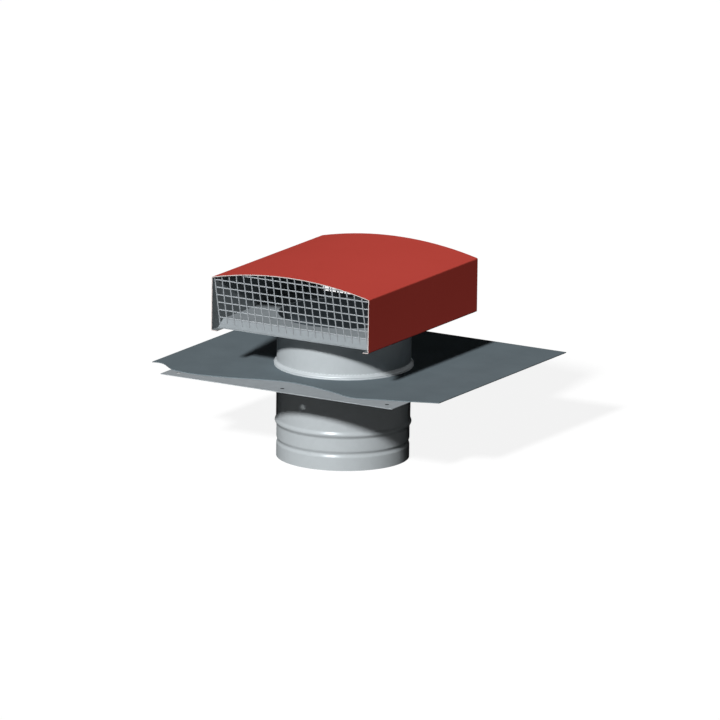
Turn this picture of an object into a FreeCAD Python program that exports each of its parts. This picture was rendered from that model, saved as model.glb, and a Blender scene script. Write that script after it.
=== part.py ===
import FreeCAD, Part

import math
import os

# Roof tile vent: a vaulted sheet hood, open and meshed at both ends, on a round duct
# that passes through a square base plate under a flexible flashing sheet.
# Frame: the duct's axis is Z, its bottom rim is z = 0, X runs across the hood's open
# front, +Y points up the roof, away from that front. All sizes are in millimetres.

# Duct: its plain end below the stop bead is a little narrower, so it enters other ducts
duct_diameter = 160.8
spigot_diameter = 159.4
duct_wall = 1.0
spigot_length = 110.6
neck_height = 52.5
collar_width = 3.5

# Beads and the groove rolled into the duct: height, half height and depth, and the
# flat steps that stand for their round line
stop_bead_height = 43.6
stop_bead_half = 4.9
stop_bead_depth = 1.8
groove_height = 19.8
groove_half = 4.3
groove_depth = 1.4
bead_steps = 8

# Flared foot of the neck, which rests on the flashing: its height, its reach past the
# neck, and its outline from the underside up as shares of the reach and the height. The
# outline is a ring, a narrow groove, a rolled rim and the flare.
foot_height = 6.4
foot_reach = 3.3
foot_outline = [
    (0.95, 0.00),
    (0.95, 0.18),
    (0.80, 0.27),
    (0.98, 0.35),
    (1.00, 0.42),
    (0.88, 0.53),
    (0.58, 0.68),
    (0.25, 0.83),
    (0.00, 1.00),
]

# Base plate and its three fixing holes along the lower edge
plate_size = 320.0
plate_sheet = 0.7
plate_corner_radius = 1.5
fixing_hole_diameter = 5.0
fixing_hole_inset = 16.0

# Flashing sheet: its overhangs past the base plate, and the dressed front edge
flashing_sheet_thickness = 1.0
flashing_left_overhang = 37.0
flashing_right_overhang = 33.0
flashing_back_overhang = 38.0
wave_setback = 33.0
wave_left_lobe = 13.0
wave_right_lobe = 12.0
duct_hole_clearance = 0.3

# Hood
hood_width = 217.0
hood_depth = 257.5
hood_wall_height = 65.8
hood_rise = 12.7
hood_sheet = 1.0
hood_fold_radius = 0.5
flange_width = 8.0

# Tray in the hood, round the duct's mouth
tray_sheet = 1.0
tray_side_clearance = 0.2
tray_height = 10.0
tray_front_inset = 12.3
tray_front_foot = 1.5
tray_ramp_run = 12.0
tray_rear_margin = 1.0
tray_rear_inset = 13.8
tray_fold_radius = 0.6

# Wire mesh in each end of the hood
wire_diameter = 1.4
wire_sides = 8
wire_weld_depth = 0.3
mesh_cells_across = 21
mesh_pitch_up = 9.9
mesh_tilt_deg = 13.0
mesh_top_inset = 0.1
mesh_side_clearance = 0.2
mesh_roof_clearance = 0.6
mesh_foot_clearance = 0.1
mesh_lowest_row = 13.0

# Heights and radii that follow
duct_radius = duct_diameter / 2
spigot_narrowing = (duct_diameter - spigot_diameter) / 2
plate_bottom = spigot_length
plate_top = plate_bottom + plate_sheet
flashing_top = plate_top + flashing_sheet_thickness
hood_bottom = flashing_top + neck_height
eave_height = hood_bottom + hood_wall_height
crown_height = eave_height + hood_rise
hood_front = -hood_depth / 2
hood_back = hood_depth / 2
flange_top = hood_bottom + hood_sheet
tray_foot_top = flange_top + tray_sheet
tray_top = hood_bottom + tray_height
sheet_hole_radius = duct_radius + duct_hole_clearance
roof_radius = (hood_width**2 / 4 + hood_rise**2) / (2 * hood_rise)
roof_centre = crown_height - roof_radius
wall_inside = hood_width / 2 - hood_sheet


def line(a, b):
    return Part.LineSegment(FreeCAD.Vector(*a), FreeCAD.Vector(*b)).toShape()


def arc(a, b, c):
    return Part.Arc(FreeCAD.Vector(*a), FreeCAD.Vector(*b), FreeCAD.Vector(*c)).toShape()


def polyline(points):
    return [line(a, b) for a, b in zip(points, points[1:])]


def solid_between(edges, along):
    face = Part.Face(Part.Wire(edges))
    return face.extrude(FreeCAD.Vector(*along))


def rolled_bump(radius, height, half, depth, widening=0):
    """Points of a rolled bead, or of a groove where depth is negative, seen in section.

    Its line is one wave of a cosine, so the wall runs smoothly into the bead. The wall
    is wider by widening above it.
    """
    points = []
    for step in range(bead_steps + 1):
        share = step / bead_steps
        swell = depth * (1 - math.cos(2 * math.pi * share)) / 2
        points.append((radius + widening * share + swell, 0, height - half + 2 * half * share))
    return points


def flared_foot(radius):
    """Points of the foot's outside, from the neck's line under it to the neck above."""
    points = [(radius, 0, flashing_top)]
    for out, up in foot_outline:
        points.append((radius + foot_reach * out, 0, flashing_top + foot_height * up))
    return points


def duct_line(radius, bottom, top, foot):
    """One face of the duct's wall in section, from the bottom rim to the top."""
    end = radius - spigot_narrowing
    points = [(end, 0, bottom)]
    points += rolled_bump(end, groove_height, groove_half, -groove_depth)
    stop_bead = (stop_bead_height, stop_bead_half, stop_bead_depth)
    points += rolled_bump(end, *stop_bead, widening=spigot_narrowing)
    points += foot
    points.append((radius, 0, top))
    return points


def make_duct():
    collar_top = tray_top - tray_sheet
    collar_bottom = collar_top - duct_wall
    inner_radius = duct_radius - duct_wall
    collar_radius = duct_radius + collar_width
    foot_middle = flashing_top + foot_height / 2
    foot_hollow = (foot_middle, foot_height / 2 - duct_wall, foot_reach - 2 * duct_wall)
    inside_foot = rolled_bump(inner_radius, *foot_hollow)
    outside = duct_line(duct_radius, 0, collar_bottom, flared_foot(duct_radius))
    collar = [(collar_radius, 0, collar_bottom), (collar_radius, 0, collar_top)]
    inside = duct_line(inner_radius, 0, collar_top, inside_foot)
    section = outside + collar + inside[::-1]
    face = Part.Face(Part.Wire(polyline(section + section[:1])))
    axis = FreeCAD.Vector(0, 0, 1)
    return face.revolve(FreeCAD.Vector(0, 0, 0), axis, 360)


def duct_hole(bottom, thickness):
    return Part.makeCylinder(
        sheet_hole_radius, thickness, FreeCAD.Vector(0, 0, bottom), FreeCAD.Vector(0, 0, 1)
    )


def make_base_plate():
    half = plate_size / 2
    plate = Part.makeBox(
        plate_size, plate_size, plate_sheet, FreeCAD.Vector(-half, -half, plate_bottom)
    )
    corners = [edge for edge in plate.Edges if edge.Length < plate_sheet * 1.01]
    plate = plate.makeFillet(plate_corner_radius, corners)
    plate = plate.cut(duct_hole(plate_bottom, plate_sheet))
    hole_place = half - fixing_hole_inset
    for x in (-hole_place, 0, hole_place):
        at = FreeCAD.Vector(x, -hole_place, plate_bottom)
        plate = plate.cut(Part.makeCylinder(fixing_hole_diameter / 2, plate_sheet, at))
    return plate


def make_flashing():
    """Flat sheet whose front edge is dressed in two lobes over the tile's wave."""
    left = -plate_size / 2 - flashing_left_overhang
    right = plate_size / 2 + flashing_right_overhang
    back = plate_size / 2 + flashing_back_overhang
    trough = -plate_size / 2 + wave_setback + wave_left_lobe
    left_lobe = trough - 2 * wave_left_lobe
    right_lobe = trough - 2 * wave_right_lobe
    width = right - left
    places = [
        (0.000, trough - 3.0),
        (0.025, trough - 1.0),
        (0.090, left_lobe + 7.0),
        (0.160, left_lobe - 1.0),
        (0.255, left_lobe + 2.5),
        (0.360, left_lobe + 14.5),
        (0.470, trough),
        (0.600, trough - 7.0),
        (0.690, right_lobe + 5.0),
        (0.740, right_lobe - 1.5),
        (0.800, right_lobe + 4.0),
        (0.900, trough - 6.5),
        (1.000, trough + 8.0),
    ]
    points = [FreeCAD.Vector(left + share * width, y, plate_top) for share, y in places]
    wave = Part.BSplineCurve()
    wave.interpolate(points)
    edges = [wave.toShape()]
    edges += polyline(
        [
            tuple(points[-1]),
            (right, back, plate_top),
            (left, back, plate_top),
            tuple(points[0]),
        ]
    )
    sheet = solid_between(edges, (0, 0, flashing_sheet_thickness))
    return sheet.cut(duct_hole(plate_top, flashing_sheet_thickness))


def roof_height(x, inset):
    """Height of the roof's face at x, where inset is its depth below the outer face."""
    return roof_centre + math.sqrt((roof_radius - inset) ** 2 - x**2)


def fold_edges(shape, places):
    """Straight edges along the sheet's length that pass through one of the places."""
    found = []
    for edge in shape.Edges:
        start = edge.Vertexes[0].Point
        end = edge.Vertexes[-1].Point
        across = math.hypot(end.x - start.x, end.z - start.z)
        if across < 0.01 and any(math.dist((start.x, start.z), p) < 0.01 for p in places):
            found.append(edge)
    return found


def make_hood():
    """Roof, walls and flanges folded from one sheet, open at both ends."""
    half = hood_width / 2
    inside_eave = roof_height(wall_inside, hood_sheet)
    tip = half - flange_width
    outer_right = [(half, hood_front, eave_height), (half, hood_front, hood_bottom)]
    outer_right.append((tip, hood_front, hood_bottom))
    inner_right = [(tip, hood_front, flange_top), (wall_inside, hood_front, flange_top)]
    inner_right.append((wall_inside, hood_front, inside_eave))
    right = outer_right + inner_right
    left = [(-x, y, z) for x, y, z in right]
    crown = (0, hood_front, crown_height)
    inner_crown = (0, hood_front, crown_height - hood_sheet)
    edges = polyline(right) + polyline(left)
    edges.append(arc(left[0], crown, right[0]))
    edges.append(arc(left[-1], inner_crown, right[-1]))
    shell = solid_between(Part.__sortEdges__(edges), (0, hood_depth, 0))
    outer_folds = [(side * half, z) for side in (-1, 1) for z in (hood_bottom, eave_height)]
    inner_folds = [(side * wall_inside, z) for side in (-1, 1) for z in (flange_top, inside_eave)]
    shell = shell.makeFillet(hood_fold_radius + hood_sheet, fold_edges(shell, outer_folds))
    return shell.makeFillet(hood_fold_radius, fold_edges(shell, inner_folds))


def tray_profile():
    """Upper line of the tray along Y: foot, ramp, level floor, rear ramp, rear foot."""
    front = hood_front + tray_front_inset
    ramp_start = front + tray_front_foot
    rear_floor = duct_radius + collar_width + tray_rear_margin
    return [
        (front, tray_foot_top),
        (ramp_start, tray_foot_top),
        (ramp_start + tray_ramp_run, tray_top),
        (rear_floor, tray_top),
        (rear_floor + tray_ramp_run, tray_foot_top),
        (hood_back - tray_rear_inset, tray_foot_top),
    ]


def make_tray():
    """Raised floor between the walls, resting on the flanges, with the duct's mouth."""
    half = wall_inside - hood_fold_radius - tray_side_clearance
    upper = tray_profile()
    slope = math.atan2(tray_top - tray_foot_top, tray_ramp_run)
    shift = tray_sheet * math.tan(slope / 2)
    shifts = [0, shift, shift, -shift, -shift, 0]
    lower = [(y + move, z - tray_sheet) for (y, z), move in zip(upper, shifts)]
    outline = upper + lower[::-1] + upper[:1]
    edges = polyline([(-half, y, z) for y, z in outline])
    tray = solid_between(edges, (2 * half, 0, 0))
    lines_up = upper[1:-1]
    lines_down = lower[1:-1]
    convex_high = lines_up[1:3]
    convex_low = [lines_down[0], lines_down[3]]
    concave = [lines_up[0], lines_up[3]] + lines_down[1:3]
    tray = tray.makeFillet(
        tray_fold_radius + tray_sheet, cross_edges(tray, convex_high + convex_low)
    )
    tray = tray.makeFillet(tray_fold_radius, cross_edges(tray, concave))
    mouth = Part.makeCylinder(duct_radius - duct_wall, tray_height, FreeCAD.Vector(0, 0, hood_bottom))
    return tray.cut(mouth)


def cross_edges(shape, places):
    """Edges across the hood that pass through one of the (y, z) places."""
    found = []
    for edge in shape.Edges:
        start = edge.Vertexes[0].Point
        end = edge.Vertexes[-1].Point
        along = math.hypot(end.y - start.y, end.z - start.z)
        if along < 0.01 and any(math.dist((start.y, start.z), p) < 0.01 for p in places):
            found.append(edge)
    return found


def mesh_inset(z):
    """How far the mesh's plane stands in from the hood's end at height z."""
    lean = math.tan(math.radians(mesh_tilt_deg))
    return mesh_top_inset + wire_diameter / 2 + (crown_height - z) * lean


def ramp_foot():
    """Height at which a wire of the front mesh comes down onto the tray's ramp."""
    radius = wire_diameter / 2
    lean = math.radians(mesh_tilt_deg)
    slope = (tray_top - tray_foot_top) / tray_ramp_run
    ramp_start = tray_front_inset + tray_front_foot
    at_foot_top = mesh_inset(tray_foot_top) + radius * math.cos(lean) - ramp_start
    rise = slope * at_foot_top - radius * math.sin(lean) + mesh_foot_clearance
    return tray_foot_top + rise / (1 + slope * math.tan(lean))


def wire_prism(start, length, along, flat):
    """Straight wire whose section has a few equal sides, one of them facing along flat."""
    across = along.cross(flat)
    corner = wire_diameter / 2 / math.cos(math.pi / wire_sides)
    points = []
    for side in range(wire_sides + 1):
        turn = math.pi * (2 * side + 1) / wire_sides
        points.append(start + flat * corner * math.cos(turn) + across * corner * math.sin(turn))
    return Part.Face(Part.makePolygon(points)).extrude(along * length)


def make_mesh(foot):
    """Welded square mesh in the front end: upright wires outside, level wires behind.

    Its upright wires end at the height foot, and under the roof's curve at the top.
    """
    radius = wire_diameter / 2
    lean = math.radians(mesh_tilt_deg)
    reach = wall_inside - mesh_side_clearance - radius
    pitch = 2 * reach / mesh_cells_across
    up = FreeCAD.Vector(0, -math.sin(lean), math.cos(lean))
    out = FreeCAD.Vector(0, -math.cos(lean), -math.sin(lean))
    right = FreeCAD.Vector(1, 0, 0)
    wires = []
    for column in range(mesh_cells_across + 1):
        x = -reach + column * pitch
        roof = roof_height(abs(x) + radius, hood_sheet + mesh_roof_clearance)
        length = (roof - foot) / math.cos(lean) - radius * math.tan(lean)
        start = FreeCAD.Vector(x, hood_front + mesh_inset(foot), foot)
        wires.append(wire_prism(start, length, up, out))
    behind = wire_diameter - wire_weld_depth
    z = hood_bottom + mesh_lowest_row
    crown_inside = crown_height - hood_sheet - mesh_roof_clearance - wire_diameter
    while z < crown_inside:
        half = reach + radius
        if z > roof_height(half, hood_sheet + mesh_roof_clearance) - radius:
            drop = roof_radius - hood_sheet - mesh_roof_clearance
            half = math.sqrt(drop**2 - (z + radius - roof_centre) ** 2)
        level = z + behind * math.sin(lean)
        y = hood_front + mesh_inset(z) + behind * math.cos(lean)
        start = FreeCAD.Vector(-half, y, level)
        wires.append(wire_prism(start, 2 * half, right, out))
        z += mesh_pitch_up * math.cos(lean)
    return wires[0].multiFuse(wires[1:])


def main():
    os.makedirs("parts", exist_ok=True)
    foot_reach = wire_diameter / 2 * math.sin(math.radians(mesh_tilt_deg))
    flat_foot = tray_foot_top + mesh_foot_clearance + foot_reach
    rear_mesh = make_mesh(flat_foot).mirror(FreeCAD.Vector(0, 0, 0), FreeCAD.Vector(0, 1, 0))
    nodes = {
        "duct": make_duct(),
        "base_plate": make_base_plate(),
        "flashing_sheet": make_flashing(),
        "hood_shell": make_hood(),
        "duct_tray": make_tray(),
        "front_mesh": make_mesh(ramp_foot()),
        "rear_mesh": rear_mesh,
    }
    for name, shape in nodes.items():
        shape.exportStep("parts/" + name + ".step")
        box = shape.BoundBox
        print(name, len(shape.Solids), shape.isValid(), round(shape.Volume), box)


main()
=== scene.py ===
import math

import bpy
from mathutils import Matrix, Vector


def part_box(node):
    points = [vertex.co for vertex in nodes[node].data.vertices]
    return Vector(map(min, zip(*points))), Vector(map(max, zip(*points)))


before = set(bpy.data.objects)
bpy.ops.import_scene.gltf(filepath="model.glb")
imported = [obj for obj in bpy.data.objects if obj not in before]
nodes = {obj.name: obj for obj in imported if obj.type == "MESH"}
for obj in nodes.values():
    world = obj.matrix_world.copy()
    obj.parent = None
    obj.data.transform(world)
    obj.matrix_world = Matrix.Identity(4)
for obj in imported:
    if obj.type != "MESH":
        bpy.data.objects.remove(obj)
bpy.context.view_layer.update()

# Roof tile vent, dressed on its CAD solids. Lengths are in metres, in the frame's axes:
# +Z up the duct's axis from its bottom rim, X across the hood's open front, +Y to its back.

# The photograph's camera: turned and raised round the flashing's middle, far away
camera_azimuth_deg = 30.23
camera_elevation_deg = 13.71
camera_roll_deg = 0.76
camera_distance = 20.0
camera_lens_mm = 836.8
camera_slide_right = 0.01925
camera_slide_up = 0.00473

# Narrow key light from the front and above, wide weak ones from front and back
key_travel = (-0.145, 1.0, -0.572)
key_strength = 4.8
key_width_deg = 4.5
fill_travel = (-0.10, 1.0, -0.10)
fill_strength = 0.15
back_travel = (0.50, -1.0, -0.03)
back_strength = 0.45
wide_lamp_width_deg = 60.0
ambient_level = 0.010

# Pale light that comes up through the duct, as it does when the part hangs free
duct_light_watts = 0.17
duct_light_radius = 0.07
duct_light_height = 0.004

# Colours as written on the shaders, in linear light
red_paint = (0.520, 0.064, 0.048)
red_paint_worn = (0.560, 0.072, 0.056)
bare_inside = (0.190, 0.212, 0.222)
cut_edge = (0.500, 0.440, 0.425)
duct_zinc = (0.375, 0.405, 0.420)
duct_foot_lift = 1.3
# Painted shade: the duct's inner wall, much darker than its zinc outside
duct_inside_shade = (0.072, 0.087, 0.098)
plate_zinc = (0.335, 0.365, 0.385)
# Painted shade: near black on the walls of the fixing holes
painted_hole_shade = (0.020, 0.023, 0.025)
tray_zinc = (0.250, 0.276, 0.292)
wire_zinc = (0.306, 0.330, 0.349)
flashing_grey = (0.135, 0.168, 0.186)
floor_grey = (0.16, 0.16, 0.16)
floor_bounce_grey = (0.02, 0.02, 0.02)
floor_glow = 0.885
background_white = 1.0

# Zinc: roughness, share of metal, drift of the tone, then crystals and grain
sheet_roughness = 0.5
wire_roughness = 0.4
duct_roughness = 0.31
foot_roughness = 0.45
roughness_drift = 0.03
sheet_metallic = 0.02
duct_metallic = 0.07
foot_metallic = 0.25
sheet_tone_drift = 0.03
duct_tone_drift = 0.015
spangle_size = 0.006
spangle_bend_rate = 1.5
spangle_bend_share = 0.35
grain_size = 0.0012
grain_depth = 0.00005
grain_strength = 0.25

# Red paint
paint_roughness = 0.42
paint_roughness_range = (0.36, 0.48)
paint_gloss_size = 0.02
paint_tone_size = 0.09
paint_tone_detail = 4.0
orange_peel_size = 0.0016
orange_peel_depth = 0.00006
orange_peel_strength = 0.3

# Flashing
flashing_roughness = 0.62
flashing_tone_drift = 0.12
flashing_tone_size = 0.035
flashing_tone_detail = 5.0
flashing_dent_size = 0.006
flashing_dent_depth = 0.0002
flashing_dent_strength = 0.25

# Cut edges, and the hole walls that carry painted shade
edge_roughness = 0.4
edge_metallic = 0.1
edge_specular = 0.5
edge_tone_drift = 0.08
edge_tone_size = 0.004
hole_roughness = 0.8
hole_tone_drift = 0.3

# How faces are told apart
facing_along = 0.9
facing_across = 0.5
edge_margin = 0.004
duct_radius = 0.0804
foot_least_flare = 0.0004
foot_strip = 0.0068
fixing_hole_strip = 0.025

floor_size = 60.0


def set_input(shader, name, value):
    shader.inputs[name].default_value = value


def start_material(name, roughness, metallic=0.0, specular=0.0):
    """A material with one principled shader, and the object's own coordinates."""
    material = bpy.data.materials.new(name)
    material.use_nodes = True
    tree = material.node_tree
    shader = tree.nodes["Principled BSDF"]
    set_input(shader, "Roughness", roughness)
    set_input(shader, "Metallic", metallic)
    set_input(shader, "Specular IOR Level", specular)
    place = tree.nodes.new("ShaderNodeTexCoord")
    return material, tree, shader, place.outputs["Object"]


def noise(tree, place, size, detail=3.0):
    node = tree.nodes.new("ShaderNodeTexNoise")
    set_input(node, "Scale", 1.0 / size)
    set_input(node, "Detail", detail)
    tree.links.new(place, node.inputs["Vector"])
    return node.outputs["Fac"]


def spangle(tree, place, size):
    """One random level for each crystal of the zinc."""
    bend = tree.nodes.new("ShaderNodeTexNoise")
    set_input(bend, "Scale", spangle_bend_rate / size)
    tree.links.new(place, bend.inputs["Vector"])
    push = tree.nodes.new("ShaderNodeVectorMath")
    push.operation = "MULTIPLY_ADD"
    push.inputs[1].default_value = (size * spangle_bend_share,) * 3
    tree.links.new(bend.outputs["Color"], push.inputs[0])
    tree.links.new(place, push.inputs[2])
    cells = tree.nodes.new("ShaderNodeTexVoronoi")
    set_input(cells, "Scale", 1.0 / size)
    tree.links.new(push.outputs["Vector"], cells.inputs["Vector"])
    split = tree.nodes.new("ShaderNodeSeparateColor")
    tree.links.new(cells.outputs["Color"], split.inputs["Color"])
    return split.outputs["Red"]


def spread(tree, level, low, high):
    """The level moved from 0..1 to low..high."""
    node = tree.nodes.new("ShaderNodeMapRange")
    set_input(node, "To Min", low)
    set_input(node, "To Max", high)
    tree.links.new(level, node.inputs["Value"])
    return node.outputs["Result"]


def blend_colours(tree, level, dark, light):
    node = tree.nodes.new("ShaderNodeMix")
    node.data_type = "RGBA"
    set_input(node, "A", (*dark, 1.0))
    set_input(node, "B", (*light, 1.0))
    tree.links.new(level, node.inputs["Factor"])
    return node.outputs["Result"]


def scaled(colour, factor):
    return tuple(channel * factor for channel in colour)


def mottle(tree, shader, colour, drift, level):
    """Colour that drifts to both sides of the one given, by the level."""
    dark = scaled(colour, 1 - drift)
    light = scaled(colour, 1 + drift)
    tree.links.new(blend_colours(tree, level, dark, light), shader.inputs["Base Color"])


def add_bump(tree, shader, level, depth, strength):
    bump = tree.nodes.new("ShaderNodeBump")
    set_input(bump, "Distance", depth)
    set_input(bump, "Strength", strength)
    tree.links.new(level, bump.inputs["Height"])
    tree.links.new(bump.outputs["Normal"], shader.inputs["Normal"])


def zinc_material(
    name, colour, roughness=sheet_roughness, metallic=sheet_metallic, drift=sheet_tone_drift
):
    """Galvanised sheet: faint crystals, fine grain and uneven gloss.

    The black tint keeps it free of sheen where it is seen at a grazing angle.
    """
    material, tree, shader, place = start_material(name, roughness, metallic)
    set_input(shader, "Specular Tint", (0.0, 0.0, 0.0, 1.0))
    grains = spangle(tree, place, spangle_size)
    mottle(tree, shader, colour, drift, grains)
    gloss = spread(tree, grains, roughness - roughness_drift, roughness + roughness_drift)
    tree.links.new(gloss, shader.inputs["Roughness"])
    add_bump(tree, shader, noise(tree, place, grain_size), grain_depth, grain_strength)
    return material


def red_material():
    """Tile red coil coating: slow change of tone and a fine orange peel."""
    material, tree, shader, place = start_material("tile_red_paint", paint_roughness)
    tone = noise(tree, place, paint_tone_size, paint_tone_detail)
    colour = blend_colours(tree, tone, red_paint, red_paint_worn)
    tree.links.new(colour, shader.inputs["Base Color"])
    gloss = spread(tree, noise(tree, place, paint_gloss_size), *paint_roughness_range)
    tree.links.new(gloss, shader.inputs["Roughness"])
    peel = noise(tree, place, orange_peel_size)
    add_bump(tree, shader, peel, orange_peel_depth, orange_peel_strength)
    return material


def flashing_material():
    """Dark grey flexible sheet: matt, softly mottled and a little uneven."""
    material, tree, shader, place = start_material("grey_flashing", flashing_roughness)
    tone = noise(tree, place, flashing_tone_size, flashing_tone_detail)
    mottle(tree, shader, flashing_grey, flashing_tone_drift, tone)
    dents = noise(tree, place, flashing_dent_size)
    add_bump(tree, shader, dents, flashing_dent_depth, flashing_dent_strength)
    return material


def edge_material():
    """The hood's cut edge, where the red coating ends and bare metal shows."""
    material, tree, shader, place = start_material(
        "cut_edge", edge_roughness, edge_metallic, edge_specular
    )
    mottle(tree, shader, cut_edge, edge_tone_drift, noise(tree, place, edge_tone_size))
    return material


def hole_shade_material():
    """Wall of a punched hole, painted near black: painted shade in the hole."""
    material, tree, shader, place = start_material("painted_hole_shade", hole_roughness)
    mottle(tree, shader, painted_hole_shade, hole_tone_drift, noise(tree, place, grain_size))
    return material


def dress(node, *materials):
    mesh = nodes[node].data
    mesh.materials.clear()
    for material in materials:
        mesh.materials.append(material)


def dress_hood():
    """Red outside, bare inside and light along the cut edges of the one sheet."""
    outside, inside, edge = range(3)
    bare = zinc_material("bare_inside", bare_inside)
    dress("hood_shell", red_material(), bare, edge_material())
    low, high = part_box("hood_shell")
    middle = (Vector(low) + Vector(high)) / 2
    for face in nodes["hood_shell"].data.polygons:
        normal = face.normal
        away = face.center - middle
        within_walls = abs(face.center.x) < high[0] - edge_margin
        lip_end = abs(normal.x) > facing_along and within_walls
        if abs(normal.y) > facing_along or lip_end:
            face.material_index = edge
        elif normal.x * away.x + normal.z * away.z > 0:
            face.material_index = outside
        else:
            face.material_index = inside


def dress_plate():
    """Zinc all over, with painted shade on the walls of the punched fixing holes."""
    zinc, dark = range(2)
    dress("base_plate", zinc_material("plate_zinc", plate_zinc), hole_shade_material())
    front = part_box("base_plate")[0][1]
    for face in nodes["base_plate"].data.polygons:
        on_rim = abs(face.center.y - front) < edge_margin
        near_front = face.center.y < front + fixing_hole_strip
        upright = abs(face.normal.z) < facing_across
        # Painted shade on the upright hole walls near the front
        face.material_index = dark if upright and near_front and not on_rim else zinc


def dress_duct():
    """Satin zinc, with painted shade inside, and brighter on the flared foot, where it was
    rolled.
    """
    body, foot, inside = range(3)
    foot_zinc = scaled(duct_zinc, duct_foot_lift)
    dress(
        "duct",
        zinc_material("duct_zinc", duct_zinc, duct_roughness, duct_metallic, duct_tone_drift),
        zinc_material("foot_zinc", foot_zinc, foot_roughness, foot_metallic, duct_tone_drift),
        zinc_material("duct_inside_shade", duct_inside_shade),
    )
    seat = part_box("flashing_sheet")[1][2]
    for face in nodes["duct"].data.polygons:
        flared = math.hypot(face.center.x, face.center.y) > duct_radius + foot_least_flare
        in_foot = seat - edge_margin < face.center.z < seat + foot_strip
        outward = face.normal.x * face.center.x + face.normal.y * face.center.y
        # Inward faces get the painted shade of the inside
        if outward < 0:
            face.material_index = inside
        else:
            face.material_index = foot if flared and in_foot else body


def dress_nodes():
    dress_hood()
    dress_duct()
    dress_plate()
    dress("duct_tray", zinc_material("tray_zinc", tray_zinc))
    dress("flashing_sheet", flashing_material())
    wires = zinc_material("wire_zinc", wire_zinc, wire_roughness)
    dress("front_mesh", wires)
    dress("rear_mesh", wires)
    # No shadow of the front wires shows on the tray in the photograph
    nodes["front_mesh"].visible_shadow = False


def add_camera():
    azimuth = math.radians(camera_azimuth_deg)
    elevation = math.radians(camera_elevation_deg)
    roll = math.radians(camera_roll_deg)
    flat = math.cos(elevation)
    back = Vector((math.sin(azimuth) * flat, -math.cos(azimuth) * flat, math.sin(elevation)))
    level_right = Vector((math.cos(azimuth), math.sin(azimuth), 0.0))
    level_up = back.cross(level_right)
    right = level_right * math.cos(roll) + level_up * math.sin(roll)
    up = level_up * math.cos(roll) - level_right * math.sin(roll)
    target = Vector((0.0, 0.0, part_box("flashing_sheet")[1][2]))
    target += level_right * camera_slide_right + level_up * camera_slide_up
    data = bpy.data.cameras.new("camera")
    data.lens = camera_lens_mm
    camera = bpy.data.objects.new("camera", data)
    turn = Matrix((right, up, back)).transposed().to_4x4()
    camera.matrix_world = Matrix.Translation(target + back * camera_distance) @ turn
    bpy.context.scene.collection.objects.link(camera)
    bpy.context.scene.camera = camera


def aim(travel):
    """The turn that makes a lamp shine along the direction."""
    return Vector(travel).to_track_quat("-Z", "Y").to_euler()


def add_sun(name, travel, strength, width_deg):
    data = bpy.data.lights.new(name, "SUN")
    data.energy = strength
    data.angle = math.radians(width_deg)
    sun = bpy.data.objects.new(name, data)
    sun.rotation_euler = aim(travel)
    bpy.context.scene.collection.objects.link(sun)


def add_duct_light():
    data = bpy.data.lights.new("duct_light", "AREA")
    data.shape = "DISK"
    data.size = 2 * duct_light_radius
    data.energy = duct_light_watts
    lamp = bpy.data.objects.new("duct_light", data)
    lamp.location = (0.0, 0.0, duct_light_height)
    lamp.rotation_euler = aim((0.0, 0.0, 1.0))
    bpy.context.scene.collection.objects.link(lamp)


def seen_directly(tree):
    """1 for rays that should meet the pale background: camera, gloss and glass."""
    path = tree.nodes.new("ShaderNodeLightPath")
    total = path.outputs["Is Camera Ray"]
    for name in ("Is Glossy Ray", "Is Transmission Ray"):
        more = tree.nodes.new("ShaderNodeMath")
        more.operation = "MAXIMUM"
        tree.links.new(total, more.inputs[0])
        tree.links.new(path.outputs[name], more.inputs[1])
        total = more.outputs["Value"]
    return total


def set_world():
    world = bpy.data.worlds.new("studio")
    world.use_nodes = True
    tree = world.node_tree
    background = tree.nodes["Background"]
    set_input(background, "Color", (1.0, 1.0, 1.0, 1.0))
    level = spread(tree, seen_directly(tree), ambient_level, background_white)
    tree.links.new(level, background.inputs["Strength"])
    bpy.context.scene.world = world


def floor_material():
    """Matt and pale to the camera and in gloss, where it glows, and dark to other light."""
    material = bpy.data.materials.new("pale_floor")
    material.use_nodes = True
    tree = material.node_tree
    tree.nodes.clear()
    seen = seen_directly(tree)
    matt = tree.nodes.new("ShaderNodeBsdfDiffuse")
    grey = blend_colours(tree, seen, floor_bounce_grey, floor_grey)
    tree.links.new(grey, matt.inputs["Color"])
    glow = tree.nodes.new("ShaderNodeEmission")
    level = spread(tree, seen, 0.0, floor_glow)
    tree.links.new(level, glow.inputs["Strength"])
    both = tree.nodes.new("ShaderNodeAddShader")
    tree.links.new(matt.outputs["BSDF"], both.inputs[0])
    tree.links.new(glow.outputs["Emission"], both.inputs[1])
    surface = tree.nodes.new("ShaderNodeOutputMaterial")
    tree.links.new(both.outputs["Shader"], surface.inputs["Surface"])
    return material


def add_floor():
    """Pale floor that keeps the object's shadow."""
    half = floor_size / 2
    corners = [(-half, -half, 0), (half, -half, 0), (half, half, 0), (-half, half, 0)]
    mesh = bpy.data.meshes.new("floor")
    mesh.from_pydata(corners, [], [(0, 1, 2, 3)])
    mesh.materials.append(floor_material())
    floor = bpy.data.objects.new("floor", mesh)
    bpy.context.scene.collection.objects.link(floor)


dress_nodes()
add_camera()
add_sun("key", key_travel, key_strength, key_width_deg)
add_sun("fill", fill_travel, fill_strength, wide_lamp_width_deg)
add_sun("back", back_travel, back_strength, wide_lamp_width_deg)
add_duct_light()
set_world()
add_floor()
bpy.context.scene.view_settings.view_transform = "Standard"
